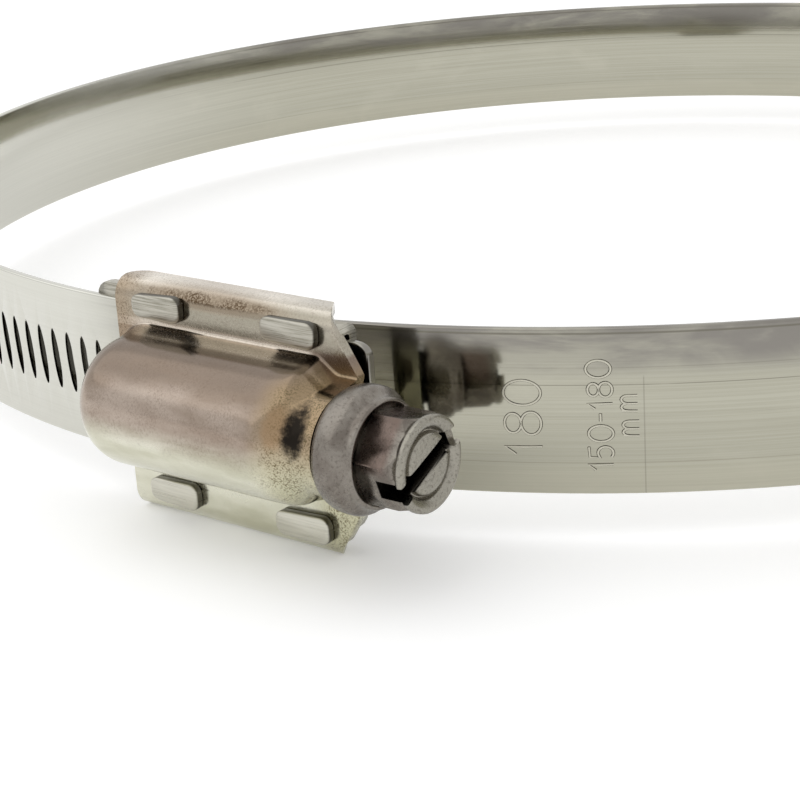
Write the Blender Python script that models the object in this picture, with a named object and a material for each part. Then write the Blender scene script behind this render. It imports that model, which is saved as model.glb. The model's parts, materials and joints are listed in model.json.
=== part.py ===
"""Worm drive hose clamp, 16 mm band, for hoses of 150 to 180 mm, opened to its full size.

The ring's axis is Z. Lengths are in metres. The drive unit (saddle, housing and screw) is modelled in a
frame of its own: x runs along the screw towards its head, y across the band and z outwards from the ring,
with z = 0 at the outer face of the plain band where the unit's left end touches the ring. The pressing isn't
quite even: the screw lies a little above the band's middle line, and the lower flange is the wider one.
"""

from math import atan2, ceil, cos, hypot, pi, radians, sin, tan

import bmesh
import bpy
from mathutils import Matrix, Vector

# Play between separate pieces
CLEARANCE = 0.0002
BAND_SIDE_PLAY = 0.0004
BAND_HEADROOM = 0.0010
LIP_PLAY = 0.0006
WORM_PLAY = 0.0004
WORM_TIP_ABOVE_SADDLE = 0.0003
COLLAR_GAP = 0.0004
TIP_GAP = 0.0007

# Band
RING_BORE = 0.180
BAND_WIDTH = 0.016
BAND_THICKNESS = 0.0008
BAND_EDGE_CHAMFER = 0.00012
FIXED_END_SETBACK = 0.0005
FIXED_END_CHAMFER = 0.0008
TIP_CHAMFER_LENGTH = 0.0015
TIP_CHAMFER_WIDTH = 0.0011
FREE_END_RISE = 0.0004
FREE_END_RISE_ANGLE = radians(100)
BAND_STEP_ANGLE = radians(3.75)

# Slots in the free end
SLOT_PITCH = 0.0024
SLOT_COUNT = 48
SLOT_LENGTH = 0.0064
SLOT_WIDTH = 0.0011
FIRST_SLOT_FROM_TIP = 0.0035
SLOT_POINTS = 12

# Housing, pressed from one sheet
SHEET = 0.0010
HOUSING_LEFT = -0.0144
HOUSING_RIGHT = 0.0152
FLANGE_BEND_RADIUS = 0.0021
LOWER_FLANGE_EXTRA = 0.0011
LIP_DEPTH = 0.0033
CORNER_CUT_WIDTH = 0.0031
CORNER_CUT_SETBACK = 0.0014
CORNER_CUT_ANGLE = radians(32)
BARREL_SETBACK = 0.0003
BARREL_WALL_DRAFT = 0.00045
BARREL_FOOT_ROUND = 0.0003
DOME_ROUND = 0.0040
NECK_LENGTH = 0.0018
SHOULDER_LENGTH = 0.0044
SHOULDER_SIDE_LENGTH = 0.0029
JOIN_OVERLAP = 0.00025

# Saddle
SADDLE_THICKNESS = 0.0010
SADDLE_LEFT = -0.0200
SADDLE_RIGHT = 0.0121
SADDLE_WALL_SETBACK = 0.0005
SADDLE_BEND_RADIUS = 0.0013
SADDLE_END_ROUND = 0.0016
DOG_LENGTH = 0.0030
DOG_WIDTH = 0.0060
DOG_FROM_LEFT = 0.0036

# Tenons of the saddle, riveted over the housing's flanges
TENON_SPACING = 0.0164
TENON_LENGTH = 0.0052
HEAD_OVERHANG = 0.00055
HEAD_HEIGHT = 0.0010
HEAD_EDGE = 0.00025

# Screw
AXIS_ABOVE_MIDDLE = 0.00045
WORM_RADIUS = 0.00495
WORM_ROOT_RADIUS = 0.0040
WORM_CREST = 0.00036
WORM_FLANK_ANGLE = radians(14)
WORM_RUN_OUT = 0.0012
WORM_END_PLAY = 0.0006
THREAD_SIDES = 30
TAIL_END_PLAY = 0.0016
TAIL_LENGTH = 0.0010
TAIL_RADIUS = 0.0034
TAIL_CHAMFER = 0.0007
NECK_RADIUS = 0.0037
COLLAR_LENGTH = 0.0042
COLLAR_RADIUS = 0.00585
COLLAR_BACK_RADIUS = 0.0053
COLLAR_LIP_RADIUS = 0.0047
COLLAR_BACK_LENGTH = 0.0019
COLLAR_FRONT_LENGTH = 0.0020
COLLAR_DISH_DEPTH = 0.0006
HEX_ACROSS_FLATS = 0.0080
HEX_LENGTH = 0.0049
HEX_TURN = radians(10)
HEX_ROOT_RISE = 0.0006
HEX_CORNER_FALL = 0.0016
FLARE_LENGTH = 0.0024
RIM_RADIUS = 0.00445
RIM_ROUND = 0.00045
RECESS_RADIUS = 0.0031
RECESS_DEPTH = 0.0005
DRIVER_SLOT_WIDTH = 0.0017
DRIVER_SLOT_DEPTH = 0.0030
DRIVER_SLOT_TURN = radians(-23)
TURNED_SIDES = 36

# Levels of the stack, outwards from the plain band
SADDLE_FLOOR = CLEARANCE
SADDLE_TOP = SADDLE_FLOOR + SADDLE_THICKNESS
FREE_BAND_FLOOR = SADDLE_TOP + CLEARANCE
FREE_BAND_TOP = FREE_BAND_FLOOR + BAND_THICKNESS
FLANGE_FLOOR = FREE_BAND_TOP + BAND_HEADROOM
FLANGE_TOP = FLANGE_FLOOR + SHEET
LIP_END = FLANGE_TOP - LIP_DEPTH
SADDLE_WALL_TOP = FLANGE_FLOOR - CLEARANCE
WORM_AXIS = SADDLE_TOP + WORM_TIP_ABOVE_SADDLE + WORM_RADIUS

# Half widths across the band
SADDLE_HALF_WIDTH = BAND_WIDTH / 2 + FREE_END_RISE + BAND_SIDE_PLAY + SADDLE_THICKNESS
HOUSING_HALF_WIDTH = SADDLE_HALF_WIDTH + LIP_PLAY + SHEET
CORNER_CUT_START = HOUSING_HALF_WIDTH - CORNER_CUT_WIDTH

# Places along the screw
BARREL_RADIUS = WORM_RADIUS + WORM_PLAY + SHEET
BARREL_LEFT = HOUSING_LEFT + BARREL_SETBACK
SHOULDER_END = HOUSING_RIGHT - NECK_LENGTH
SHOULDER_START = SHOULDER_END - SHOULDER_LENGTH
CORNER_CUT_X = HOUSING_RIGHT - CORNER_CUT_SETBACK
TAIL_LEFT = BARREL_LEFT + SHEET + TAIL_END_PLAY
WORM_LEFT = TAIL_LEFT + TAIL_LENGTH
WORM_RIGHT = SHOULDER_START - WORM_END_PLAY
COLLAR_LEFT = HOUSING_RIGHT + COLLAR_GAP
COLLAR_RIGHT = COLLAR_LEFT + COLLAR_LENGTH
HEAD_RIGHT = COLLAR_RIGHT + HEX_LENGTH
SADDLE_WALL_LEFT = HOUSING_LEFT + SADDLE_WALL_SETBACK
TIP_X = COLLAR_LEFT - TIP_GAP

# Ring, and where the drive unit stands on it, to the right of the point where the saddle touches
UNIT_X = 0.0154
RING_INNER = RING_BORE / 2
RING_OUTER = RING_INNER + BAND_THICKNESS
RING_MIDDLE = RING_INNER + BAND_THICKNESS / 2
FREE_BAND_MIDDLE = RING_OUTER + FREE_BAND_FLOOR + BAND_THICKNESS / 2
HALF_RING_SHIFT = (FREE_BAND_MIDDLE - RING_MIDDLE) / 2
FIXED_END_REACH = -SADDLE_LEFT - UNIT_X - FIXED_END_SETBACK


def clear_scene():
    for obj in list(bpy.data.objects):
        bpy.data.objects.remove(obj, do_unlink=True)


def steel(name, color, roughness):
    material = bpy.data.materials.new(name)
    material.use_nodes = True
    shader = material.node_tree.nodes["Principled BSDF"]
    shader.inputs["Base Color"].default_value = (*color, 1)
    shader.inputs["Metallic"].default_value = 1.0
    shader.inputs["Roughness"].default_value = roughness
    return material


def new_object(name, bm, parent=None, material=None):
    bmesh.ops.recalc_face_normals(bm, faces=bm.faces[:])
    mesh = bpy.data.meshes.new(name)
    bm.to_mesh(mesh)
    bm.free()
    obj = bpy.data.objects.new(name, mesh)
    bpy.context.scene.collection.objects.link(obj)
    obj.parent = parent
    if material:
        mesh.materials.append(material)
    return obj


def helper(obj):
    """Marks a shape that only cuts or joins another."""
    obj.hide_render = True
    obj.display_type = "WIRE"
    return obj


def combine(obj, other, operation):
    modifier = obj.modifiers.new(f"{operation.lower()} {other.name}", "BOOLEAN")
    modifier.operation = operation
    modifier.solver = "EXACT"
    modifier.object = helper(other)


def shade_round(obj, angle=35):
    obj.data.shade_smooth()
    obj.data.set_sharp_from_angle(angle=radians(angle))


def empty(name, location, rotation=(0, 0, 0), parent=None):
    obj = bpy.data.objects.new(name, None)
    bpy.context.scene.collection.objects.link(obj)
    obj.location = location
    obj.rotation_euler = rotation
    obj.parent = parent
    return obj


def box(name, low, high, parent):
    bm = bmesh.new()
    bmesh.ops.create_cube(bm, size=1)
    low, high = Vector(low), Vector(high)
    bmesh.ops.transform(bm, matrix=Matrix.LocRotScale((low + high) / 2, None, high - low), verts=bm.verts)
    return new_object(name, bm, parent)


def prism(name, outline, axis, start, end, parent, material=None):
    """A closed outline of 2-D points pushed along an axis, with the points in the order of the other two."""
    bm = bmesh.new()
    at = "xyz".index(axis)
    corners = [Vector(p[:at] + (start,) + p[at:]) for p in outline]
    face = bm.faces.new([bm.verts.new(c) for c in corners])
    pushed = bmesh.ops.extrude_face_region(bm, geom=[face])
    shift = [0, 0, 0]
    shift[at] = end - start
    moved = [v for v in pushed["geom"] if isinstance(v, bmesh.types.BMVert)]
    bmesh.ops.translate(bm, vec=shift, verts=moved)
    return new_object(name, bm, parent, material)


def arc(center, radius, start, end, steps):
    """Points on an arc, angles in degrees from the first axis to the second."""
    angles = [radians(start + (end - start) * i / steps) for i in range(steps + 1)]
    return [(center[0] + radius * cos(a), center[1] + radius * sin(a)) for a in angles]


def loft(name, rings, parent=None, material=None):
    """A closed solid through rings with the same number of points, capped at both ends."""
    bm = bmesh.new()
    rows = [[bm.verts.new(p) for p in ring] for ring in rings]
    count = len(rows[0])
    for first, second in zip(rows, rows[1:]):
        for i in range(count):
            j = (i + 1) % count
            bm.faces.new((first[i], first[j], second[j], second[i]))
    bm.faces.new(rows[0][::-1])
    bm.faces.new(rows[-1])
    return new_object(name, bm, parent, material)


def turned(name, profile, parent):
    """A solid turned about the x axis from (x, radius) points that start and end on it."""
    bm = bmesh.new()
    points = [bm.verts.new((x, 0, radius)) for x, radius in profile]
    edges = [bm.edges.new(pair) for pair in zip(points, points[1:])]
    bmesh.ops.spin(
        bm,
        geom=points + edges,
        axis=(1, 0, 0),
        cent=(0, 0, 0),
        angle=2 * pi,
        steps=TURNED_SIDES,
        use_merge=True,
    )
    bmesh.ops.remove_doubles(bm, verts=bm.verts, dist=1e-7)
    return new_object(name, bm, parent)


def smoothstep(t):
    t = min(max(t, 0), 1)
    return t * t * (3 - 2 * t)


# Band

def on_ring(angle):
    """Middle of the band and its outward direction, by the angle round the ring from the saddle's end.

    The first half turn is the plain part. The second is a little wider, so that it comes back over the
    saddle, and it ends in the straight free end.
    """
    outward = Vector((sin(angle), -cos(angle), 0))
    if angle <= pi:
        return outward * RING_MIDDLE, outward
    return Vector((0, -HALF_RING_SHIFT, 0)) + outward * (RING_MIDDLE + HALF_RING_SHIFT), outward


def free_end_rise(angle):
    return FREE_END_RISE * smoothstep((angle - (2 * pi - FREE_END_RISE_ANGLE)) / FREE_END_RISE_ANGLE)


def on_free_end(behind_tip):
    """Middle of the band and its outward direction, by the distance back from the tip."""
    straight = UNIT_X + TIP_X
    if behind_tip <= straight:
        rise = Vector((0, 0, FREE_END_RISE))
        return Vector((straight - behind_tip, -FREE_BAND_MIDDLE, 0)) + rise, Vector((0, -1, 0))
    angle = 2 * pi - (behind_tip - straight) / (RING_MIDDLE + HALF_RING_SHIFT)
    middle, outward = on_ring(angle)
    return middle + Vector((0, 0, free_end_rise(angle))), outward


def band_section(middle, outward, half_width):
    half, cut = BAND_THICKNESS / 2, BAND_EDGE_CHAMFER
    upper = [(half, half_width - cut), (half - cut, half_width)]
    upper += [(-out, up) for out, up in reversed(upper)]
    corners = upper + [(-out, -up) for out, up in upper]
    return [middle + outward * out + Vector((0, 0, up)) for out, up in corners]


def band_rings():
    half_width = BAND_WIDTH / 2
    start = -FIXED_END_REACH / RING_MIDDLE
    rings = []
    for angle, inset in ((start, FIXED_END_CHAMFER), (start + FIXED_END_CHAMFER / RING_MIDDLE, 0)):
        middle, outward = on_ring(angle)
        rings.append(band_section(middle, outward, half_width - inset))
    steps = ceil(2 * pi / BAND_STEP_ANGLE)
    for i in range(steps + 1):
        angle = 2 * pi * i / steps
        middle, outward = on_ring(angle)
        rings.append(band_section(middle + Vector((0, 0, free_end_rise(angle))), outward, half_width))
    for behind_tip, inset in ((TIP_CHAMFER_LENGTH, 0), (0, TIP_CHAMFER_WIDTH)):
        middle, outward = on_free_end(behind_tip)
        rings.append(band_section(middle, outward, half_width - inset))
    return rings


def slot_cutters(parent):
    """One lens-shaped cutter for each slot, leaning by the worm's lead angle."""
    bm = bmesh.new()
    lean = atan2(SLOT_PITCH, 2 * pi * WORM_RADIUS)
    for k in range(SLOT_COUNT):
        middle, outward = on_free_end(FIRST_SLOT_FROM_TIP + k * SLOT_PITCH)
        along = Vector((-outward.y, outward.x, 0))
        upward = Vector((0, 0, 1))
        rims = []
        for level in (-BAND_THICKNESS, BAND_THICKNESS):
            rim = []
            for i in range(SLOT_POINTS):
                turn = 2 * pi * i / SLOT_POINTS
                across = SLOT_LENGTH / 2 * cos(turn)
                width = SLOT_WIDTH / 2 * sin(turn)
                point = middle + outward * level + upward * across + along * (width + across * tan(lean))
                rim.append(bm.verts.new(point))
            rims.append(rim)
        for i in range(SLOT_POINTS):
            j = (i + 1) % SLOT_POINTS
            bm.faces.new((rims[0][i], rims[0][j], rims[1][j], rims[1][i]))
        bm.faces.new(rims[0][::-1])
        bm.faces.new(rims[1])
    return new_object("slot cutters", bm, parent)


def dog_box(name, play, bottom, parent):
    """The saddle's dog, or with some play the window that it fills in the band's fixed end."""
    left = SADDLE_LEFT + DOG_FROM_LEFT
    return box(
        name,
        (left - play, -DOG_WIDTH / 2 - play, bottom),
        (left + DOG_LENGTH + play, DOG_WIDTH / 2 + play, SADDLE_FLOOR + SADDLE_THICKNESS / 2),
        parent,
    )


def make_band(clamp, unit, material):
    band = loft("band", band_rings(), clamp, material)
    combine(band, slot_cutters(clamp), "DIFFERENCE")
    combine(band, dog_box("dog window", CLEARANCE, -2 * BAND_THICKNESS, unit), "DIFFERENCE")
    shade_round(band)


# Saddle

def channel_outline():
    """The saddle's U section across the band, as (y, z) points."""
    half = SADDLE_HALF_WIDTH
    outer, inner = SADDLE_BEND_RADIUS, SADDLE_BEND_RADIUS - SADDLE_THICKNESS
    center = (half - outer, SADDLE_FLOOR + outer)
    right = arc(center, outer, -90, 0, 4) + [(half, SADDLE_WALL_TOP)]
    right += [(half - SADDLE_THICKNESS, SADDLE_WALL_TOP)] + arc(center, inner, 0, -90, 2)
    return right + [(-y, z) for y, z in reversed(right)]


def tenon_centers():
    y = SADDLE_HALF_WIDTH - SADDLE_THICKNESS / 2
    return [(side * TENON_SPACING / 2, across * y) for side in (-1, 1) for across in (-1, 1)]


def oblong(length, width, steps=5):
    """A slot-shaped outline along x with round ends."""
    radius = width / 2
    reach = length / 2 - radius
    return arc((reach, 0), radius, -90, 90, steps) + arc((-reach, 0), radius, 90, 270, steps)


def riveted_head(name, x, y, parent):
    """A tenon's spread head: an oblong button with its upper edge rounded."""
    rings = []
    base = FLANGE_TOP + CLEARANCE
    top = base + HEAD_HEIGHT
    for z, inset in ((base, HEAD_EDGE), (base + HEAD_EDGE, 0), (top - HEAD_EDGE, 0), (top, HEAD_EDGE)):
        overhang = 2 * (HEAD_OVERHANG - inset)
        outline = oblong(TENON_LENGTH + overhang, SADDLE_THICKNESS + overhang)
        rings.append([(x + px, y + py, z) for px, py in outline])
    return loft(name, rings, parent)


def make_saddle(unit, material):
    saddle = prism("saddle", channel_outline(), "x", SADDLE_WALL_LEFT, SADDLE_RIGHT, unit, material)
    half = SADDLE_HALF_WIDTH - CLEARANCE
    corner = SADDLE_END_ROUND
    overlap = SADDLE_WALL_LEFT + SADDLE_THICKNESS
    tongue = arc((SADDLE_LEFT + corner, half - corner), corner, 90, 180, 4)
    tongue += [(x, -y) for x, y in reversed(tongue)] + [(overlap, -half), (overlap, half)]
    combine(saddle, prism("saddle tongue", tongue, "z", SADDLE_FLOOR, SADDLE_TOP, unit), "UNION")
    combine(saddle, dog_box("dog", 0, -BAND_THICKNESS, unit), "UNION")
    for i, (x, y) in enumerate(tenon_centers()):
        low = (x - TENON_LENGTH / 2, y - SADDLE_THICKNESS / 2, SADDLE_WALL_TOP - SADDLE_THICKNESS)
        high = (x + TENON_LENGTH / 2, y + SADDLE_THICKNESS / 2, FLANGE_TOP + CLEARANCE + HEAD_HEIGHT / 2)
        combine(saddle, box(f"tenon {i}", low, high, unit), "UNION")
        combine(saddle, riveted_head(f"riveted head {i}", x, y, unit), "UNION")
    shade_round(saddle)


# Housing

def canopy_outline(wall):
    """(x, half width, height above the axis, outward x, outward y) from the neck's end to the dome's middle.

    A wall of 0 gives the outer face, and one of the sheet's thickness the inner face.
    """
    barrel = BARREL_RADIUS - wall
    neck = NECK_RADIUS + CLEARANCE + SHEET - wall
    end = HOUSING_RIGHT + (SHEET / 2 if wall else 0)
    rows = [(end, neck, neck), (SHOULDER_END, neck, neck)]
    steps = 6
    for i in range(1, steps):
        back = SHOULDER_LENGTH * i / steps
        half_width = neck + (barrel - neck) * smoothstep(back / SHOULDER_SIDE_LENGTH)
        height = neck + (barrel - neck) * smoothstep(back / SHOULDER_LENGTH)
        rows.append((SHOULDER_END - back, half_width, height))
    rows.append((SHOULDER_START, barrel, barrel))
    center = (BARREL_LEFT + DOME_ROUND, BARREL_RADIUS - DOME_ROUND)
    rows += [(x, radius, radius) for x, radius in arc(center, DOME_ROUND - wall, 90, 180, 6)]
    rows.append((BARREL_LEFT + wall, center[1] / 2, center[1] / 2))
    normals = []
    for i, (x, half_width, _) in enumerate(rows):
        before, after = rows[max(i - 1, 0)], rows[min(i + 1, len(rows) - 1)]
        dx, dy = after[0] - before[0], after[1] - before[1]
        length = hypot(dx, dy)
        normals.append((dy / length, -dx / length))
    normals[0] = normals[1] = (0, 1)
    normals[-1] = normals[-2] = (-1, 0)
    return [row + normal for row, normal in zip(rows, normals)]


def canopy(name, wall, parent):
    """The barrel with its dome, shoulder and neck, on walls that spread a little down to the flanges."""
    foot = BARREL_FOOT_ROUND + wall
    fillet_top = FLANGE_TOP + BARREL_FOOT_ROUND
    bottom = FLANGE_TOP - wall - JOIN_OVERLAP
    foot_steps = 4
    arch_steps = 9
    bm = bmesh.new()

    def column(x, half_width, height, nx, ny, side):
        points = []
        for i in range(arch_steps + 1):
            turn = pi / 2 * (1 - i / arch_steps)
            across = AXIS_ABOVE_MIDDLE + side * half_width * cos(turn)
            points.append((x, across, WORM_AXIS + height * sin(turn)))
        for i in range(foot_steps + 2):
            turn = pi / 2 * min(i / foot_steps, 1)
            spread = BARREL_WALL_DRAFT + foot * (1 - cos(turn))
            level = fillet_top - foot * sin(turn) if i <= foot_steps else bottom
            along = max(x + nx * spread, HOUSING_LEFT + wall)
            points.append((along, AXIS_ABOVE_MIDDLE + side * (half_width + ny * spread), level))
        return points

    outline = canopy_outline(wall)
    halves = []
    for side in (1, -1):
        halves.append([[bm.verts.new(p) for p in column(*row, side)] for row in outline])
    pole = [bm.verts.new(p) for p in column(BARREL_LEFT + wall, 0, 0, -1, 0, 1)]
    grid = halves[0] + [pole] + halves[1][::-1]
    for first, second in zip(grid, grid[1:]):
        for a, b, c, d in zip(first, first[1:], second[1:], second):
            bm.faces.new((a, b, c, d))
    bm.faces.new(halves[0][0] + halves[1][0][:0:-1])
    bm.faces.new([points[-1] for points in grid])
    bmesh.ops.remove_doubles(bm, verts=bm.verts, dist=1e-7)
    bmesh.ops.dissolve_degenerate(bm, edges=bm.edges, dist=1e-7)
    return new_object(name, bm, parent)


def half_widths():
    """The upper and the lower flange, as their side and the distance from the middle line to their edge."""
    return ((1, HOUSING_HALF_WIDTH), (-1, HOUSING_HALF_WIDTH + LOWER_FLANGE_EXTRA))


def flange_outline():
    """The flanges' section across the band, as (y, z) points: a flat plate with both edges turned inwards."""
    outer, inner = FLANGE_BEND_RADIUS, FLANGE_BEND_RADIUS - SHEET
    outline = []
    for side, half in half_widths():
        center = (half - outer, FLANGE_TOP - outer)
        edge = arc(center, outer, 90, 0, 6) + [(half, LIP_END), (half - SHEET, LIP_END)]
        edge += arc(center, inner, 0, 90, 4)
        outline += [(side * y, z) for y, z in edge[::side]]
    return outline


def corner_cutter(name, side, half, parent):
    """Cuts a flange's right corner off on a slant that follows the sheet round its bend."""
    bend_start = half - FLANGE_BEND_RADIUS
    slope = tan(CORNER_CUT_ANGLE)

    def cut_x(developed):
        return CORNER_CUT_X - slope * (developed - CORNER_CUT_START)

    y, z = bend_start, FLANGE_TOP - FLANGE_BEND_RADIUS
    near, far = SHEET / 3, FLANGE_BEND_RADIUS + SHEET
    right = HOUSING_RIGHT + SHEET
    flat_start = CORNER_CUT_START - (right - CORNER_CUT_X) / slope
    spokes = [(right, (flat_start, z + near), (flat_start, z + far))]
    steps = 5
    for i in range(steps + 1):
        turn = pi / 2 * i / steps
        across, out = sin(turn), cos(turn)
        x = cut_x(bend_start + FLANGE_BEND_RADIUS * turn)
        spokes.append((x, (y + near * across, z + near * out), (y + far * across, z + far * out)))
    lip = z - LIP_END + SHEET
    x = cut_x(bend_start + FLANGE_BEND_RADIUS * pi / 2 + lip)
    spokes.append((x, (y + near, z - lip), (y + far, z - lip)))
    rings = []
    for x, inner, outer in spokes:
        left = min(x, right - CLEARANCE)
        corners = ((left, inner), (right, inner), (right, outer), (left, outer))
        rings.append([(cx, side * cy, cz) for cx, (cy, cz) in corners])
    return loft(name, rings, parent)


def make_housing(unit, material):
    housing = prism("housing", flange_outline(), "x", HOUSING_LEFT, HOUSING_RIGHT, unit, material)
    combine(housing, canopy("barrel", 0, unit), "UNION")
    combine(housing, canopy("barrel hollow", SHEET, unit), "DIFFERENCE")
    for name, (side, half) in zip(("upper corner", "lower corner"), half_widths()):
        combine(housing, corner_cutter(name, side, half, unit), "DIFFERENCE")
    half_length = TENON_LENGTH / 2 + CLEARANCE
    half_width = SADDLE_THICKNESS / 2 + CLEARANCE
    for i, (x, y) in enumerate(tenon_centers()):
        low = (x - half_length, y - half_width, FLANGE_FLOOR - SHEET)
        high = (x + half_length, y + half_width, FLANGE_TOP + SHEET)
        combine(housing, box(f"tenon slot {i}", low, high, unit), "DIFFERENCE")
    shade_round(housing)


# Screw

def worm_thread(parent):
    """The worm as one skin laid along the thread, whose crest points at the band where a slot lies."""
    crest = WORM_CREST / 2
    flank = crest + (WORM_RADIUS - WORM_ROOT_RADIUS) * tan(WORM_FLANK_ANGLE)
    form = [(-crest, WORM_RADIUS), (crest, WORM_RADIUS)]
    form += [(flank, WORM_ROOT_RADIUS), (SLOT_PITCH - flank, WORM_ROOT_RADIUS)]
    nearest_slot = TIP_X - FIRST_SLOT_FROM_TIP
    turns_before = ceil((nearest_slot - WORM_LEFT) / SLOT_PITCH) + 1
    turns_after = ceil((WORM_RIGHT - nearest_slot) / SLOT_PITCH) + 2
    bm = bmesh.new()
    rows = []
    for side in range(THREAD_SIDES + 1):
        turn = 2 * pi * side / THREAD_SIDES
        row = []
        for pitch in range(-turns_before, turns_after):
            for offset, radius in form:
                x = nearest_slot + (pitch + side / THREAD_SIDES) * SLOT_PITCH + offset
                depth = smoothstep(min(x - WORM_LEFT, WORM_RIGHT - x) / WORM_RUN_OUT)
                radius = WORM_ROOT_RADIUS + (radius - WORM_ROOT_RADIUS) * depth
                x = min(max(x, WORM_LEFT), WORM_RIGHT)
                row.append(bm.verts.new((x, radius * sin(turn), -radius * cos(turn))))
        rows.append(row)
    for first, second in zip(rows, rows[1:]):
        for a, b, c, d in zip(first, first[1:], second[1:], second):
            bm.faces.new((a, b, c, d))
    bmesh.ops.remove_doubles(bm, verts=bm.verts, dist=1e-7)
    bmesh.ops.dissolve_degenerate(bm, edges=bm.edges, dist=1e-7)
    bmesh.ops.holes_fill(bm, edges=bm.edges, sides=0)
    return new_object("worm thread", bm, parent)


def screw_profile():
    """(x, radius) along the plain parts: tail, core, neck, collar and the hexagon's core."""
    core = WORM_ROOT_RADIUS - CLEARANCE
    points = [(TAIL_LEFT, 0), (TAIL_LEFT, TAIL_RADIUS - TAIL_CHAMFER)]
    points += [(TAIL_LEFT + TAIL_CHAMFER, TAIL_RADIUS), (WORM_LEFT + TAIL_CHAMFER, TAIL_RADIUS)]
    points += [(WORM_LEFT + TAIL_CHAMFER, core), (WORM_RIGHT, core)]
    points += [(WORM_RIGHT + core - NECK_RADIUS, NECK_RADIUS), (COLLAR_LEFT, NECK_RADIUS)]
    steps = 4
    for i in range(steps + 1):
        turn = pi / 2 * i / steps
        rise = (COLLAR_RADIUS - COLLAR_BACK_RADIUS) * sin(turn)
        points.append((COLLAR_LEFT + COLLAR_BACK_LENGTH * (1 - cos(turn)), COLLAR_BACK_RADIUS + rise))
    for i in range(steps + 1):
        turn = pi / 2 * i / steps
        fall = (COLLAR_RADIUS - COLLAR_LIP_RADIUS) * (1 - cos(turn))
        points.append((COLLAR_RIGHT - COLLAR_FRONT_LENGTH * (1 - sin(turn)), COLLAR_RADIUS - fall))
    dish = COLLAR_RIGHT - COLLAR_DISH_DEPTH
    hex_core = HEX_ACROSS_FLATS / 2 - CLEARANCE
    points += [(COLLAR_RIGHT, COLLAR_LIP_RADIUS - COLLAR_DISH_DEPTH / 4), (dish, hex_core), (dish, 0)]
    return points


def rim_profile():
    """(x, radius) of the head's end, which flares like a trumpet to a round rim about a shallow recess."""
    root = HEX_ACROSS_FLATS / 2 - CLEARANCE
    start, crest = HEAD_RIGHT - FLARE_LENGTH, HEAD_RIGHT - RIM_ROUND
    points = [(start, 0)]
    steps = 4
    for i in range(steps):
        share = i / steps
        points.append((start + (crest - start) * share, root + (RIM_RADIUS - root) * share ** 2))
    points += arc((crest, RIM_RADIUS - RIM_ROUND), RIM_ROUND, 90, 0, 4)
    floor = HEAD_RIGHT - RECESS_DEPTH
    return points + [(HEAD_RIGHT, RECESS_RADIUS + RECESS_DEPTH / 2), (floor, RECESS_RADIUS), (floor, 0)]


def hexagon(parent):
    """The head's flats, with round roots above the dish and corners turned down to the rim."""
    corner = HEX_ACROSS_FLATS / 2 / cos(pi / 6)
    outline = [(corner * sin(HEX_TURN + k * pi / 3), corner * cos(HEX_TURN + k * pi / 3)) for k in range(6)]
    left = COLLAR_RIGHT - COLLAR_DISH_DEPTH - CLEARANCE
    right = HEAD_RIGHT - RECESS_DEPTH - CLEARANCE
    flats = prism("hexagon", outline, "x", left, right, parent)
    root = HEX_ACROSS_FLATS / 2 - CLEARANCE / 2
    flats_start = COLLAR_RIGHT + CLEARANCE
    round_off = [(left - CLEARANCE, 0), (left - CLEARANCE, root), (flats_start, root)]
    round_off += [(flats_start + HEX_ROOT_RISE, corner + CLEARANCE)]
    round_off += [(right - HEX_CORNER_FALL, corner + CLEARANCE)]
    round_off += [(right + CLEARANCE, root + CLEARANCE), (right + CLEARANCE, 0)]
    combine(flats, turned("hexagon round-off", round_off, parent), "INTERSECT")
    return flats


def make_screw(unit, material):
    axis = empty("screw axis", (0, AXIS_ABOVE_MIDDLE, WORM_AXIS), parent=unit)
    screw = turned("screw", screw_profile(), axis)
    screw.data.materials.append(material)
    combine(screw, worm_thread(axis), "UNION")
    combine(screw, hexagon(axis), "UNION")
    combine(screw, turned("flared rim", rim_profile(), axis), "UNION")
    reach = HEX_ACROSS_FLATS
    half = DRIVER_SLOT_WIDTH / 2
    floor = HEAD_RIGHT - DRIVER_SLOT_DEPTH
    slot = box("driver slot", (floor, -half, -reach), (HEAD_RIGHT + half, half, reach), axis)
    slot.rotation_euler = (-DRIVER_SLOT_TURN, 0, 0)
    combine(screw, slot, "DIFFERENCE")
    shade_round(screw, 30)


def stand_on_origin(clamp):
    """Puts the origin under the middle of the clamp, level with its lowest point."""
    bpy.context.view_layer.update()
    graph = bpy.context.evaluated_depsgraph_get()
    corners = [
        obj.matrix_world @ Vector(corner)
        for obj in bpy.data.objects
        if obj.type == "MESH" and not obj.hide_render
        for corner in obj.evaluated_get(graph).bound_box
    ]
    low = [min(c[i] for c in corners) for i in range(3)]
    high = [max(c[i] for c in corners) for i in range(3)]
    clamp.location = (-(low[0] + high[0]) / 2, -(low[1] + high[1]) / 2, -low[2])
    bpy.context.view_layer.update()


def main():
    clear_scene()
    clamp = empty("clamp", (0, 0, 0))
    unit = empty("drive unit", (UNIT_X, -RING_OUTER, 0), (pi / 2, 0, 0), clamp)
    make_band(clamp, unit, steel("rolled stainless band", (0.62, 0.63, 0.59), 0.22))
    make_saddle(unit, steel("saddle stainless", (0.58, 0.57, 0.53), 0.35))
    make_housing(unit, steel("pressed stainless housing", (0.60, 0.55, 0.50), 0.30))
    make_screw(unit, steel("plated steel screw", (0.42, 0.38, 0.36), 0.38))
    stand_on_origin(clamp)


main()
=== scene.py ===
import json
from math import asin, atan2, cos, pi, radians, sin, tan

import bpy
from mathutils import Matrix, Vector


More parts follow.
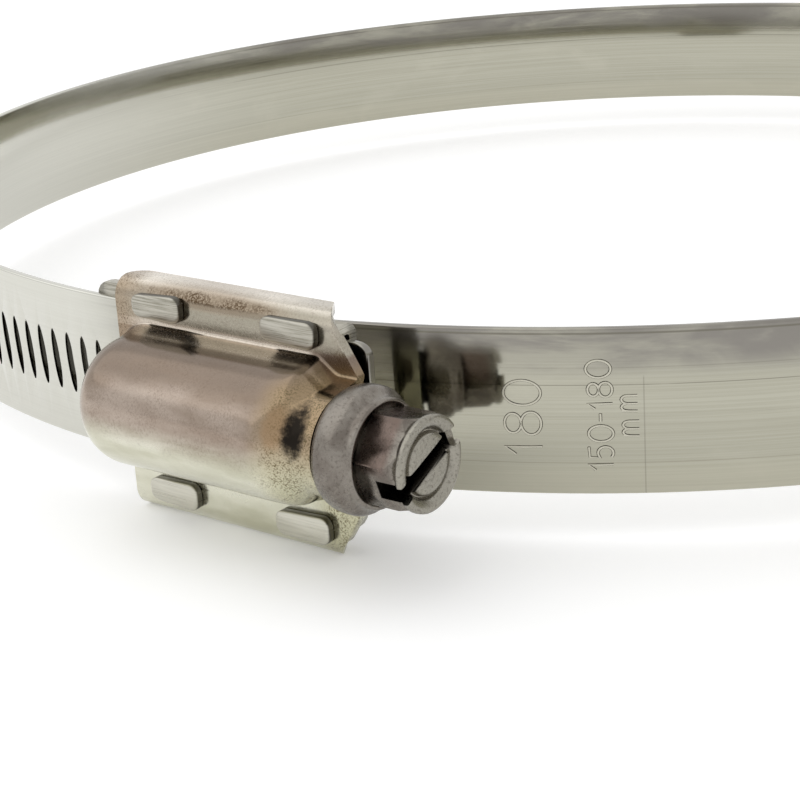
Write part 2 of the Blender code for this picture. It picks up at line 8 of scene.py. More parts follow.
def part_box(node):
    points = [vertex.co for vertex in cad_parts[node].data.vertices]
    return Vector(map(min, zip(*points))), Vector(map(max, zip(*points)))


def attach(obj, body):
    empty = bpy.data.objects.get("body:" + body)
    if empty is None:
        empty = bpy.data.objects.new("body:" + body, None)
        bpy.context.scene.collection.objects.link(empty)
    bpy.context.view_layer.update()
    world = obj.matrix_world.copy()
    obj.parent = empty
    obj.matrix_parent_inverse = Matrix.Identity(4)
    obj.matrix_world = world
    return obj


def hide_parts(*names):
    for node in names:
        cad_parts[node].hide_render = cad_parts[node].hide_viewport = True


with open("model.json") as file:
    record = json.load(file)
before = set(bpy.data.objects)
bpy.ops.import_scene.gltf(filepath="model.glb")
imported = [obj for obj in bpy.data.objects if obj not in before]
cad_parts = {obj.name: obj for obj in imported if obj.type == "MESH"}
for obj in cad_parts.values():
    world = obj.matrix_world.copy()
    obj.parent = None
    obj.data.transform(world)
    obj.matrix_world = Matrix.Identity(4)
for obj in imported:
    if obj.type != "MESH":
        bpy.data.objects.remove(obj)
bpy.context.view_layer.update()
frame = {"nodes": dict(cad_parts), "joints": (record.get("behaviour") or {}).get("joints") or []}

MM = 0.001

# Where things are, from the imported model: the screw's axis, the drive unit on it and the ring's centre
AXIS = Vector(frame["joints"][0]["pos_m"])
WORM_AXIS = 6.45 * MM
AXIS_ABOVE_MIDDLE = 0.45 * MM
MIDDLE = AXIS.z - AXIS_ABOVE_MIDDLE
UNIT = Matrix.Translation((AXIS.x, AXIS.y + WORM_AXIS, MIDDLE)) @ Matrix.Rotation(pi / 2, 4, "X")
BAND_WIDTH = 16 * MM
BAND_THICKNESS = 0.8 * MM
RING_MIDDLE = 90.4 * MM  # the radius of the band's middle
RING_OUTSIDE = RING_MIDDLE + BAND_THICKNESS / 2
BAND_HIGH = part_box("band")[1]
RING = Matrix.Translation((BAND_HIGH.x - RING_OUTSIDE, BAND_HIGH.y - RING_OUTSIDE, MIDDLE))

# Band
BAND_EDGE_ROUND = 0.22 * MM
HALF_RING_SHIFT = 1.1 * MM  # how far the free half's centre lies from the ring's, towards the drive unit
FREE_BAND_MIDDLE = RING_MIDDLE + 2 * HALF_RING_SHIFT
UNIT_X = 15.4 * MM
FIXED_END_REACH = 4.1 * MM
FIXED_END_CHAMFER = 0.8 * MM
TIP_X = 14.9 * MM
TIP_CHAMFER = (1.5 * MM, 1.1 * MM)
FREE_END_RISE = 0.4 * MM
FREE_END_RISE_ANGLE = radians(100)
SLOT_PITCH = 2.4 * MM
SLOT_COUNT = 48
SLOT_LENGTH = 6.4 * MM
SLOT_WIDTH = 1.1 * MM
FIRST_SLOT = 3.5 * MM
WORM_RADIUS = 4.95 * MM
SLOT_LEAN = atan2(SLOT_PITCH, 2 * pi * WORM_RADIUS)
WINDOW_SIZE = (3.4 * MM, 6.4 * MM, 4 * MM)
WINDOW_X = -14.9 * MM
MARK_LINE_RADIUS = 0.15 * MM
MARK_FLATTENING = 0.9
MARK_SINK = 0.03 * MM  # how deep the marks' lines stand in the band
FIRST_HALF_STEPS = 145
SECOND_HALF_STEPS = 64
RISE_STEPS = 80
TIP_STEPS = 5

# Housing
SHEET = 1.0 * MM
HOUSING_LEFT = -14.4 * MM
HOUSING_RIGHT = 15.2 * MM
FLANGE_TOP = 4.2 * MM
HALF_WIDTH = 11.4 * MM
BEND_RADIUS = 2.1 * MM
LOWER_EXTRA = 1.1 * MM
LIP_LENGTH = 1.2 * MM
BARREL_RADIUS = 6.35 * MM
BARREL_LEFT = -14.1 * MM
DOME_ROUND = 4.0 * MM
NECK_RADIUS = 4.9 * MM
NECK_LENGTH = 1.8 * MM
SHOULDER_LENGTH = 4.4 * MM
SHOULDER_SIDE_LENGTH = 2.9 * MM
FOOT_DRAFT = 0.45 * MM
FOOT_FILLET = 0.3 * MM
CORNER_ROUND = 2.2 * MM
CUT_X = 13.8 * MM  # a point of the slanted cut at the flange's right end, and the cut's slope
CUT_S = 8.3 * MM
CUT_SLOPE = tan(radians(32))

# Blocks on the housing, in millimetres: the tools for the tenons' slots, and the foot of its dome
TENON_X = 8.2
TENON_Y = 9.3
TENON_HALF_LENGTH = 2.65
TENON_HALF_WIDTH = 0.7
TENON_TOOL_BOTTOM = 1.7
TENON_TOOL_TOP = 5.7
DOME_FOOT = ((-14.39, -3.95, 3.2), (-13.4, 4.85, 4.25))

# How finely the sheet is drawn: its rows along the screw, then the steps down one row
SHOULDER_ROWS = 14
BARREL_ROWS = 12
DOME_ROWS = 14
CUT_ROWS = 16
CUT_FLAT_ROWS = 6
CORNER_ROWS = 6
ARCH_STEPS = 22
WALL_STEPS = 5
FLAT_STEPS = 13
LIP_STEPS = 4

# Screw
WORM_END = 14.6 * MM
FLAT_TO_AXIS = 4.0 * MM
HEXAGON_LENGTH = 4.7 * MM
HEXAGON_MIDDLE = 21.45 * MM
HEXAGON_TURN = radians(20)
SLOT_TURN = radians(113)
SLOT_HALF = 0.94 * MM

# Rivet heads
HEAD_BOTTOM = 4.22 * MM
HEAD_HEIGHT = 0.78 * MM
HEAD_CORNER = 0.95 * MM
HEAD_INSET = 0.3 * MM
HEAD_CROWN = 0.13 * MM
# Each one's name, its place, length and width in millimetres, its turn in degrees, and the share of its
# width that is left at its left end
HEADS = (
    ("head_upper_left", -8.4, 9.3, 6.1, 2.6, 1, 0.86),
    ("head_upper_right", 7.95, 9.3, 6.3, 2.6, -1, 0.9),
    ("head_lower_left", -8.45, -9.5, 6.2, 2.7, -1, 0.86),
    ("head_lower_right", 7.9, -9.55, 6.4, 2.7, 1, 0.9),
)

# Dark scratches along the band: height above its middle and width in millimetres, and strength
SCRATCHES = ((7.5, 0.13, 0.8), (2.62, 0.07, 0.6), (-4.9, 0.05, 0.3), (4.25, 0.05, 0.3), (-0.35, 0.04, 0.25))

# Studio
FLOOR_SIZE = 8.0
FLOOR_GLOW = 0.15
WORLD_LIGHT = 0.95
LAMP_PLACE = Vector((-0.35, -0.35, 0.75))
LAMP_AIM = Vector((0, -0.08, 0.01))
LAMP_SIZE = 1.2
LAMP_POWER = 2.0
CAMERA_PLACE = Vector((137.04, -220.83, 62.8)) * MM  # from the ring's centre
CAMERA_TURN = [radians(a) for a in (70.228, 3.532, 37.705)]
CAMERA_LENS = 89.424
CAMERA_SENSOR = 36


# Working by hand on one piece at a time

def take(piece):
    """Makes a piece the only one that the next operator acts on."""
    if bpy.context.object and bpy.context.object.mode != "OBJECT":
        bpy.ops.object.mode_set(mode="OBJECT")
    bpy.ops.object.select_all(action="DESELECT")
    piece.select_set(True)
    bpy.context.view_layer.objects.active = piece


def added(name):
    """Names what an operator has just added."""
    piece = bpy.context.object
    piece.name = piece.data.name = name
    return piece


def edit():
    bpy.ops.object.mode_set(mode="EDIT")


def done():
    bpy.ops.object.mode_set(mode="OBJECT")


def pick(piece, where, domain="FACE"):
    """Selects the faces or vertices that a test of their place and normal names, and stays in edit mode."""
    edit()
    bpy.ops.mesh.select_mode(type=domain)
    bpy.ops.mesh.select_all(action="DESELECT")
    done()
    mesh = piece.data
    if domain == "FACE":
        for face in mesh.polygons:
            face.select = bool(where(face.center, face.normal))
    else:
        for vertex in mesh.vertices:
            vertex.select = bool(where(vertex.co, vertex.normal))
    edit()


def place(piece, matrix):
    """Puts a piece where it belongs, with its place in its mesh."""
    take(piece)
    piece.matrix_world = matrix @ piece.matrix_world
    bpy.ops.object.transform_apply(location=True, rotation=True, scale=True)


def apply(piece, kind, **settings):
    """Adds a modifier and makes its result the piece's mesh."""
    take(piece)
    modifier = piece.modifiers.new(kind.lower(), kind)
    for key, value in settings.items():
        setattr(modifier, key, value)
    bpy.ops.object.modifier_apply(modifier=modifier.name)


def cut(piece, cutter, operation="DIFFERENCE"):
    """Cuts a piece with a tool, or joins the two, and takes the tool away."""
    apply(piece, "BOOLEAN", operation=operation, solver="EXACT", object=cutter)
    bpy.data.objects.remove(cutter)


def copy_of(piece, name):
    copy = piece.copy()
    copy.data = piece.data.copy()
    copy.name = copy.data.name = name
    bpy.context.scene.collection.objects.link(copy)
    return copy


def joined(pieces, name):
    take(pieces[0])
    for piece in pieces:
        piece.select_set(True)
    bpy.ops.object.join()
    return added(name)


def tidy(piece, sharp=35, merge=2e-7):
    """Merges doubles, turns all faces outwards and shades the piece smooth up to its sharp edges."""
    take(piece)
    edit()
    bpy.ops.mesh.select_all(action="SELECT")
    bpy.ops.mesh.remove_doubles(threshold=merge)
    bpy.ops.mesh.normals_make_consistent(inside=False)
    done()
    bpy.ops.object.shade_smooth_by_angle(angle=radians(sharp))


def block(name, low, high):
    """A plain block between two corners, given in millimetres."""
    bpy.ops.mesh.primitive_cube_add(size=1)
    piece = added(name)
    size = [(b - a) * MM for a, b in zip(low, high)]
    center = [(a + b) / 2 * MM for a, b in zip(low, high)]
    edit()
    bpy.ops.transform.resize(value=size)
    bpy.ops.transform.translate(value=center)
    done()
    return piece


def turned(name, profile, sides=96):
    """A turned piece about X: a disc drawn out from ring to ring, with the profile in millimetres."""
    x, radius = profile[0]
    bpy.ops.mesh.primitive_circle_add(vertices=sides, radius=radius * MM, fill_type="NGON",
                                      rotation=(0, pi / 2, 0))
    piece = added(name)
    place(piece, Matrix.Translation((x * MM, 0, 0)))
    edit()
    bpy.ops.mesh.select_all(action="SELECT")
    for next_x, next_radius in profile[1:]:
        bpy.ops.mesh.extrude_region_move(TRANSFORM_OT_translate={"value": ((next_x - x) * MM, 0, 0)})
        share = next_radius / radius
        bpy.ops.transform.resize(value=(1, share, share), center_override=(next_x * MM, 0, 0))
        x, radius = next_x, next_radius
    bpy.ops.mesh.select_all(action="SELECT")
    bpy.ops.mesh.normals_make_consistent(inside=False)
    done()
    return piece


def bevelled(piece, width, segments=2):
    """Rounds a piece's sharp edges, with the width in millimetres."""
    apply(piece, "BEVEL", width=width * MM, segments=segments, limit_method="ANGLE",
          angle_limit=radians(50))


def smoothstep(t):
    t = min(max(t, 0), 1)
    return t * t * (3 - 2 * t)


# Band

def band_strip():
    """One strip, from the end under the housing round the ring and back over itself to its slotted tip."""
    bpy.ops.mesh.primitive_plane_add(size=1)
    band = added("rolled_band")
    edit()
    bpy.ops.transform.resize(value=(BAND_THICKNESS, BAND_WIDTH, 1))
    bpy.ops.mesh.bevel(offset=BAND_EDGE_ROUND, segments=3, affect="VERTICES")
    done()
    start = -FIXED_END_REACH / RING_MIDDLE
    middle = Vector((sin(start), -cos(start), 0)) * RING_MIDDLE
    turn = Matrix.Rotation(start + pi / 2, 4, "Z") @ Matrix.Rotation(pi / 2, 4, "X")
    place(band, Matrix.Translation(middle) @ turn)
    narrow = (BAND_WIDTH / 2 - FIXED_END_CHAMFER) / (BAND_WIDTH / 2)
    down = (0, 0, -1)
    edit()
    bpy.ops.mesh.select_all(action="SELECT")
    bpy.ops.transform.resize(value=(1, 1, narrow), center_override=(0, 0, 0))
    first = FIXED_END_CHAMFER / RING_MIDDLE
    bpy.ops.mesh.spin(steps=1, angle=first, center=(0, 0, 0), axis=down)
    bpy.ops.transform.resize(value=(1, 1, 1 / narrow), center_override=(0, 0, 0))
    bpy.ops.mesh.spin(steps=FIRST_HALF_STEPS, angle=pi - start - first, center=(0, 0, 0), axis=down)
    center = (0, -HALF_RING_SHIFT, 0)
    level = pi - FREE_END_RISE_ANGLE
    bpy.ops.mesh.spin(steps=SECOND_HALF_STEPS, angle=level, center=center, axis=down)
    for i in range(RISE_STEPS):
        bpy.ops.mesh.spin(steps=1, angle=(pi - level) / RISE_STEPS, center=center, axis=down)
        rise = FREE_END_RISE * (smoothstep((i + 1) / RISE_STEPS) - smoothstep(i / RISE_STEPS))
        bpy.ops.transform.translate(value=(0, 0, rise))
    length, width = TIP_CHAMFER
    straight = UNIT_X + TIP_X - length
    bpy.ops.mesh.extrude_region_move(TRANSFORM_OT_translate={"value": (straight, 0, 0)})
    half = BAND_WIDTH / 2
    for i in range(TIP_STEPS):
        a, b = pi / 2 * i / TIP_STEPS, pi / 2 * (i + 1) / TIP_STEPS
        step = length * (sin(b) - sin(a))
        bpy.ops.mesh.extrude_region_move(TRANSFORM_OT_translate={"value": (step, 0, 0)})
        share = (half - width * (1 - cos(b))) / (half - width * (1 - cos(a)))
        bpy.ops.transform.resize(value=(1, 1, share), center_override=(0, 0, FREE_END_RISE))
    bpy.ops.mesh.select_all(action="SELECT")
    bpy.ops.mesh.normals_make_consistent(inside=False)
    done()
    return band


def on_free_end(behind_tip):
    """A frame on the free end at a distance behind its tip: x along the band, y outwards, z across it."""
    straight = UNIT_X + TIP_X
    lift = Matrix.Translation((0, 0, FREE_END_RISE))
    if behind_tip <= straight:
        return lift @ Matrix.Translation((straight - behind_tip, -FREE_BAND_MIDDLE, 0))
    back = (behind_tip - straight) / (RING_MIDDLE + HALF_RING_SHIFT)
    share = smoothstep(1 - back / FREE_END_RISE_ANGLE)
    lift = Matrix.Translation((0, -HALF_RING_SHIFT, FREE_END_RISE * share))
    out = Matrix.Translation((0, -RING_MIDDLE - HALF_RING_SHIFT, 0))
    return lift @ Matrix.Rotation(-back, 4, "Z") @ out


def slot_tools():
    """A lens-shaped punch, and a copy of it at each slot."""
    bpy.ops.mesh.primitive_cylinder_add(vertices=28, radius=0.5, depth=4 * BAND_THICKNESS)
    punch = added("slot_punch")
    edit()
    bpy.ops.transform.resize(value=(SLOT_WIDTH, SLOT_LENGTH, 1))
    done()
    place(punch, Matrix.Rotation(pi / 2, 4, "X") @ Matrix.Rotation(SLOT_LEAN, 4, "Z"))
    punches = []
    for i in range(SLOT_COUNT):
        copy = copy_of(punch, f"slot_punch_{i}")
        place(copy, on_free_end(FIRST_SLOT + i * SLOT_PITCH))
        punches.append(copy)
    bpy.data.objects.remove(punch)
    return joined(punches, "slot_punches")


def oval(x, y, wide, high, start=0, end=360, steps=28):
    """Points round an oval, between two angles in degrees."""
    angles = [radians(start + (end - start) * i / steps) for i in range(steps + 1)]
    return [(x + wide / 2 * cos(a), y + high / 2 * sin(a)) for a in angles]


# The strokes of each mark, drawn 1 high and 1 wide
STROKES = {
    "0": [oval(0.5, 0.5, 1, 1)],
    "1": [[(0.0, 0.72), (0.75, 1.0), (0.7, 0.5), (0.75, 0.0)]],
    "5": [[(0.9, 1.0), (0.15, 0.97), (0.1, 0.55)] + oval(0.45, 0.33, 0.95, 0.62, 120, -130, 16)],
    "8": [oval(0.5, 0.77, 0.86, 0.45), oval(0.5, 0.28, 1, 0.54)],
    "-": [[(0.0, 0.5), (1.0, 0.5)]],
    "m": [[(0.0, 0.0), (0.03, 0.95)], oval(0.26, 0.6, 0.46, 0.7, 180, 0, 10) + [(0.49, 0.0)],
          oval(0.75, 0.6, 0.5, 0.7, 180, 0, 10) + [(1.0, 0.0)]],
}

# Each mark: its two ends across the band, its place along the band and its height, in millimetres
MARKS = (
    ("1", -4.1, -3.05, 25.1, 3.1), ("8", -2.15, 0.05, 25.1, 3.1), ("0", 0.7, 3.1, 25.1, 3.1),
    ("1", -5.6, -4.85, 30.75, 1.95), ("5", -4.5, -3.2, 30.8, 1.95), ("0", -2.8, -1.25, 30.8, 1.95),
    ("-", -0.85, -0.1, 30.8, 1.95), ("1", 0.35, 1.05, 30.8, 1.95), ("8", 1.5, 2.9, 30.8, 1.95),
    ("0", 3.35, 5.0, 30.7, 1.95), ("m", -2.3, -0.85, 32.8, 1.3), ("m", 0.1, 1.6, 32.7, 1.3),
)


def stroke(points):
    """A fine raised line: a point drawn out from place to place, with a round bevel along its path."""
    bpy.ops.mesh.primitive_plane_add(size=0.1 * MM)
    line = added("stroke")
    edit()
    bpy.ops.mesh.select_all(action="SELECT")
    bpy.ops.mesh.merge(type="CENTER")
    bpy.ops.transform.translate(value=(points[0][0], points[0][1], 0))
    for (x, y), (next_x, next_y) in zip(points, points[1:]):
        bpy.ops.mesh.extrude_region_move(TRANSFORM_OT_translate={"value": (next_x - x, next_y - y, 0)})
    done()
    bpy.ops.object.convert(target="CURVE")
    line.data.bevel_depth = MARK_LINE_RADIUS
    line.data.bevel_resolution = 1
    line.data.use_fill_caps = True
    bpy.ops.object.convert(target="MESH")
    return line


def size_marks():
    """The plain size marks, laid out flat and then wrapped round the band's outer face."""
    lines = []
    for mark, low, high, x, height in MARKS:
        for strokes in STROKES[mark]:
            wide = high - low
            lines.append(stroke([((x - v * height) * MM, (low + u * wide) * MM) for u, v in strokes]))
    marks = joined(lines, "size_marks")
    for vertex in marks.data.vertices:
        x, y, z = vertex.co
        turn = asin((UNIT_X + x) / RING_OUTSIDE)
        radius = RING_OUTSIDE + z * MARK_FLATTENING - MARK_SINK
        vertex.co = radius * sin(turn), -radius * cos(turn), y
    tidy(marks, 60)
    return marks


def make_band():
    """The strip with its slots, its window and its size marks."""
    band = band_strip()
    cut(band, slot_tools())
    bpy.ops.mesh.primitive_cube_add(size=1)
    window = added("dog_window")
    edit()
    bpy.ops.transform.resize(value=WINDOW_SIZE)
    done()
    place(window, Matrix.Translation((UNIT_X + WINDOW_X, -RING_MIDDLE, 0)) @ Matrix.Rotation(pi / 2, 4, "X"))
    cut(band, window)
    bevelled(band, 0.05)
    wear(band, rolled_steel())
    marks = size_marks()
    wear(marks, stamped_steel())
    band = joined([band, marks], "rolled_band")
    place(band, RING)
    tidy(band)
    return band


# Housing

def canopy_rows():
    """Rows down the canopy, from its neck to the middle of its dome.

    Each has its place along the screw, half width and height of the crown, and direction outwards.
    """
    rows = []
    neck_end = HOUSING_RIGHT - NECK_LENGTH
    shoulder_end = neck_end - SHOULDER_LENGTH
    step = BARREL_RADIUS - NECK_RADIUS
    for x in (HOUSING_RIGHT, HOUSING_RIGHT - NECK_LENGTH / 2):
        rows.append((x, NECK_RADIUS, NECK_RADIUS, 0, 1))
    for i in range(SHOULDER_ROWS):
        x = neck_end - SHOULDER_LENGTH * i / SHOULDER_ROWS
        crown = NECK_RADIUS + step * smoothstep((neck_end - x) / SHOULDER_LENGTH)
        side = NECK_RADIUS + step * smoothstep((neck_end - x) / SHOULDER_SIDE_LENGTH)
        rows.append((x, side, crown, 0, 1))
    center = BARREL_LEFT + DOME_ROUND
    for i in range(BARREL_ROWS):
        x = shoulder_end + (center - shoulder_end) * i / BARREL_ROWS
        rows.append((x, BARREL_RADIUS, BARREL_RADIUS, 0, 1))
    for i in range(DOME_ROWS + 1):
        a = pi / 2 * i / DOME_ROWS
        radius = BARREL_RADIUS - DOME_ROUND * (1 - cos(a))
        rows.append((center - DOME_ROUND * sin(a), radius, radius, -sin(a), cos(a)))
    for share in (0.75, 0.5, 0.25, 0):
        radius = (BARREL_RADIUS - DOME_ROUND) * share
        rows.append((BARREL_LEFT, radius, radius, -1, 0))
    return rows


def foot_of(row, side):
    """Where a row's wall meets the flange, as a place along the screw and a distance from the middle."""
    x, width, height, nx, ny = row
    spread = FOOT_DRAFT + FOOT_FILLET
    return max(x + nx * spread, HOUSING_LEFT), side * AXIS_ABOVE_MIDDLE + width + ny * spread


def flange_edge(feet, half):
    """Where each row ends on the sheet's edge, as places along the screw and round the bend."""
    bend_start = half - BEND_RADIUS
    last = bend_start + pi / 2 * BEND_RADIUS + LIP_LENGTH
    corner_x = CUT_X - CUT_SLOPE * (last - CUT_S)
    cut_start = CUT_S - (HOUSING_RIGHT - CUT_X) / CUT_SLOPE
    whole = sum(foot[0] > HOUSING_LEFT + 1e-6 for foot in feet)
    straight = whole - CORNER_ROWS
    ends = []
    for i, foot in enumerate(feet):
        if i < CUT_ROWS:
            s = cut_start + (bend_start - cut_start) * min(i / CUT_FLAT_ROWS, 1)
            s += (last - bend_start) * max((i - CUT_FLAT_ROWS) / (CUT_ROWS - 1 - CUT_FLAT_ROWS), 0)
            ends.append((CUT_X - CUT_SLOPE * (s - CUT_S), s) if s > foot[1] else foot)
        elif i < straight:
            share = (i - CUT_ROWS + 1) / (straight - CUT_ROWS)
            ends.append((corner_x + (HOUSING_LEFT + CORNER_ROUND - corner_x) * share, last))
        elif i < whole:
            a = pi / 2 * (i - straight + 1) / CORNER_ROWS
            ends.append((HOUSING_LEFT + CORNER_ROUND * (1 - sin(a)), last - CORNER_ROUND * (1 - cos(a))))
        else:
            ends.append(foot)
    return ends


def on_flange(x, s, side, half):
    """A point of the outer face at a developed distance s across the sheet."""
    bend_start = half - BEND_RADIUS
    bend = s - bend_start
    if bend <= 0:
        return x, side * s, FLANGE_TOP
    turn = min(bend / BEND_RADIUS, pi / 2)
    y = bend_start + BEND_RADIUS * sin(turn)
    z = FLANGE_TOP - BEND_RADIUS * (1 - cos(turn)) - max(bend - BEND_RADIUS * pi / 2, 0)
    return x, side * y, z


def sheet_row(row, end, side, half):
    """One row of the pressed sheet, from its crown down the wall, over the flange and round the bend."""
    x, width, height, nx, ny = row
    points = []
    for i in range(ARCH_STEPS):
        a = pi / 2 * (1 - i / ARCH_STEPS)
        points.append((x, AXIS_ABOVE_MIDDLE + side * width * cos(a), WORM_AXIS + height * sin(a)))
    wall = WORM_AXIS - FLANGE_TOP - FOOT_FILLET
    for i in range(2 * WALL_STEPS):
        a = pi / 2 * max(i / WALL_STEPS - 1, 0)
        share = min(i / WALL_STEPS, 1)
        spread = FOOT_DRAFT * share + FOOT_FILLET * (1 - cos(a))
        level = WORM_AXIS - wall * share - FOOT_FILLET * sin(a)
        across = AXIS_ABOVE_MIDDLE + side * (width + ny * spread)
        points.append((max(x + nx * spread, HOUSING_LEFT), across, level))
    start, across = foot_of(row, side)
    bend_start = half - BEND_RADIUS
    flat_end = min(end[1], bend_start)
    bend_end = max(min(end[1], bend_start + pi / 2 * BEND_RADIUS), flat_end)
    for i in range(FLAT_STEPS):
        share = i / FLAT_STEPS
        at = start + (end[0] - start) * share
        points.append(on_flange(at, across + (flat_end - across) * share, side, half))
    for i in range(FLAT_STEPS):
        points.append(on_flange(end[0], flat_end + (bend_end - flat_end) * i / FLAT_STEPS, side, half))
    for i in range(LIP_STEPS + 1):
        points.append(on_flange(end[0], bend_end + (end[1] - bend_end) * i / LIP_STEPS, side, half))
    return points


def make_housing():
    """One pressed sheet: a flat blank whose points are drawn over the die, then given its thickness."""
    rows = canopy_rows()
    halves = []
    for side, half in ((1, HALF_WIDTH), (-1, HALF_WIDTH + LOWER_EXTRA)):
        ends = flange_edge([foot_of(row, side) for row in rows], half)
        halves.append([sheet_row(row, end, side, half) for row, end in zip(rows, ends)])
    formed = halves[0] + halves[1][-2::-1]
    across, along = len(formed[0]) - 1, len(formed) - 1
    bpy.ops.mesh.primitive_grid_add(x_subdivisions=across, y_subdivisions=along, size=1)
    housing = added("pressed_housing")
    flat = [point for row in formed for point in row]
    for vertex, point in zip(housing.data.vertices, flat):
        vertex.co = point
    take(housing)
    edit()
    bpy.ops.mesh.select_all(action="SELECT")
    bpy.ops.mesh.remove_doubles(threshold=2e-6)
    bpy.ops.mesh.normals_make_consistent(inside=False)
    done()
    crown = max(housing.data.polygons, key=lambda face: face.center.z)
    if crown.normal.z < 0:
        edit()
        bpy.ops.mesh.flip_normals()
        done()
    apply(housing, "SOLIDIFY", thickness=SHEET, offset=-1)
    for x in (-TENON_X, TENON_X):
        for y in (-TENON_Y, TENON_Y):
            low = (x - TENON_HALF_LENGTH, y - TENON_HALF_WIDTH, TENON_TOOL_BOTTOM)
            high = (x + TENON_HALF_LENGTH, y + TENON_HALF_WIDTH, TENON_TOOL_TOP)
            cut(housing, block("tenon_slot", low, high))
    bevelled(housing, 0.09)
    foot = block("dome_foot", *DOME_FOOT)
    bevelled(foot, 0.09)
    housing = joined([housing, foot], "pressed_housing")
    place(housing, UNIT)
    tidy(housing)
    return housing


# Screw

def rounded(x, radius, reach, start, end, steps):
    """Points of a profile round a centre, between two angles in degrees."""
    angles = [radians(start + (end - start) * i / steps) for i in range(steps + 1)]
    return [(x + reach * cos(a), radius + reach * sin(a)) for a in angles]


def collar_profile():
    """From the neck over the collar's shoulder and groove to its lip and shallow dish."""
    profile = [(14.2, 3.7), (15.6, 3.7), (15.6, 5.02)]
    profile += [(15.63, 5.2), (15.75, 5.38), (15.95, 5.52), (16.25, 5.65), (16.6, 5.75), (17.0, 5.81)]
    profile += [(17.4, 5.84), (17.75, 5.84), (18.05, 5.8), (18.3, 5.7), (18.5, 5.55), (18.66, 5.38)]
    profile += [(18.8, 5.24), (18.95, 5.13), (19.12, 5.05), (19.3, 5.01), (19.45, 5.0)]
    profile += [(19.58, 4.97), (19.69, 4.9), (19.75, 4.8), (19.76, 4.7), (19.73, 4.62), (19.68, 4.55)]
    return profile + [(19.62, 4.44), (19.58, 4.3), (19.56, 4.15), (19.55, 3.95), (19.54, 3.6)]


def rim_profile():
    """From the flats' flare over the rim to its groove and the raised pads in the middle."""
    profile = [(22.2, 3.55)]
    for i in range(15):
        share = i / 14
        profile.append((22.4 + 1.8 * share, 3.75 + 0.63 * share ** 2.4))
    profile += rounded(24.3, 4.03, 0.4, 60, 0, 6)[1:]
    profile += [(24.68, 3.85), (24.62, 3.65), (24.52, 3.45), (24.4, 3.27), (24.2, 3.15), (24.0, 3.08)]
    profile += [(23.93, 2.98), (23.95, 2.88), (24.1, 2.81), (24.3, 2.76), (24.42, 2.68), (24.48, 2.55)]
    return profile + [(24.5, 2.3), (24.5, 1.9)]


def make_screw():
    """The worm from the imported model, and a cold-formed head of its own in one piece with it."""
    worm = copy_of(frame["nodes"]["screw"], "worm")
    tidy(worm, merge=2e-6)
    edit()
    bpy.ops.mesh.select_all(action="SELECT")
    bpy.ops.mesh.bisect(plane_co=(AXIS.x + WORM_END, 0, 0), plane_no=(1, 0, 0), clear_outer=True,
                        use_fill=True, threshold=1e-6)
    done()

    head = turned("screw_head", collar_profile())
    radius = FLAT_TO_AXIS / cos(pi / 6)
    bpy.ops.mesh.primitive_cylinder_add(vertices=6, radius=radius, depth=HEXAGON_LENGTH)
    flats = added("flats")
    place(flats, Matrix.Rotation(HEXAGON_TURN, 4, "X") @ Matrix.Rotation(pi / 2, 4, "Y"))
    place(flats, Matrix.Translation((HEXAGON_MIDDLE, 0, 0)))
    bevelled(flats, 0.1, 3)
    ends = [(19.0, 3.85), (19.5, 3.9), (20.1, 4.9), (22.6, 4.9), (23.8, 4.1), (23.88, 3.2)]
    cut(flats, turned("flats_ends", ends), "INTERSECT")
    cut(head, flats, "UNION")
    cut(head, turned("flared_rim", rim_profile()), "UNION")
    half = SLOT_HALF / MM
    shallow = half - 0.05
    corners = ((21.7, -3.4, -half), (26, 6, half)), ((24.0, -6, -shallow), (26, -3.3, shallow))
    for low, high in corners:
        slot = block("driver_slot", low, high)
        place(slot, Matrix.Rotation(SLOT_TURN, 4, "X"))
        cut(head, slot)
    place(head, UNIT @ Matrix.Translation((0, AXIS_ABOVE_MIDDLE, WORM_AXIS)))
    screw = joined([head, worm], "worm_screw")
    tidy(screw)
    return screw


# Saddle

def spread_head(name, x, y, length, width, turn, narrow):
    """One tenon's end, spread over the flange by the press: a rounded oblong with a crowned top."""
    bpy.ops.mesh.primitive_plane_add(size=1)
    head = added(name)
    edit()
    bpy.ops.transform.resize(value=(length * MM, width * MM, 1))
    bpy.ops.transform.translate(value=(0, 0, HEAD_BOTTOM))
    bpy.ops.mesh.bevel(offset=HEAD_CORNER, segments=4, affect="VERTICES")
    bpy.ops.mesh.extrude_region_move(TRANSFORM_OT_translate={"value": (0, 0, HEAD_HEIGHT)})
    bpy.ops.mesh.inset(thickness=HEAD_INSET)
    bpy.ops.transform.translate(value=(0, 0, HEAD_CROWN))
    done()
    pick(head, lambda co, normal: co.x < 0, "VERT")
    bpy.ops.transform.resize(value=(1, narrow, 1), center_override=(0, 0, 0))
    bpy.ops.mesh.select_all(action="SELECT")
    bpy.ops.mesh.normals_make_consistent(inside=False)
    done()
    bevelled(head, 0.1)
    place(head, Matrix.Translation((x * MM, y * MM, 0)) @ Matrix.Rotation(radians(turn), 4, "Z"))
    place(head, UNIT)
    return head


def make_saddle():
    """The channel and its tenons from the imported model, with each tenon's end spread by hand."""
    saddle = copy_of(frame["nodes"]["saddle"], "riveted_saddle")
    tidy(saddle, merge=2e-6)
    edit()
    bpy.ops.mesh.select_all(action="SELECT")
    level = UNIT @ Vector((0, 0, FLANGE_TOP + 0.1 * MM))
    out = UNIT.to_3x3() @ Vector((0, 0, 1))
    bpy.ops.mesh.bisect(plane_co=level, plane_no=out, clear_outer=True, use_fill=True,
                        threshold=1e-6)
    done()
    heads = [spread_head(*head) for head in HEADS]
    saddle = joined([saddle] + heads, "riveted_saddle")
    tidy(saddle)
    return saddle


# Materials

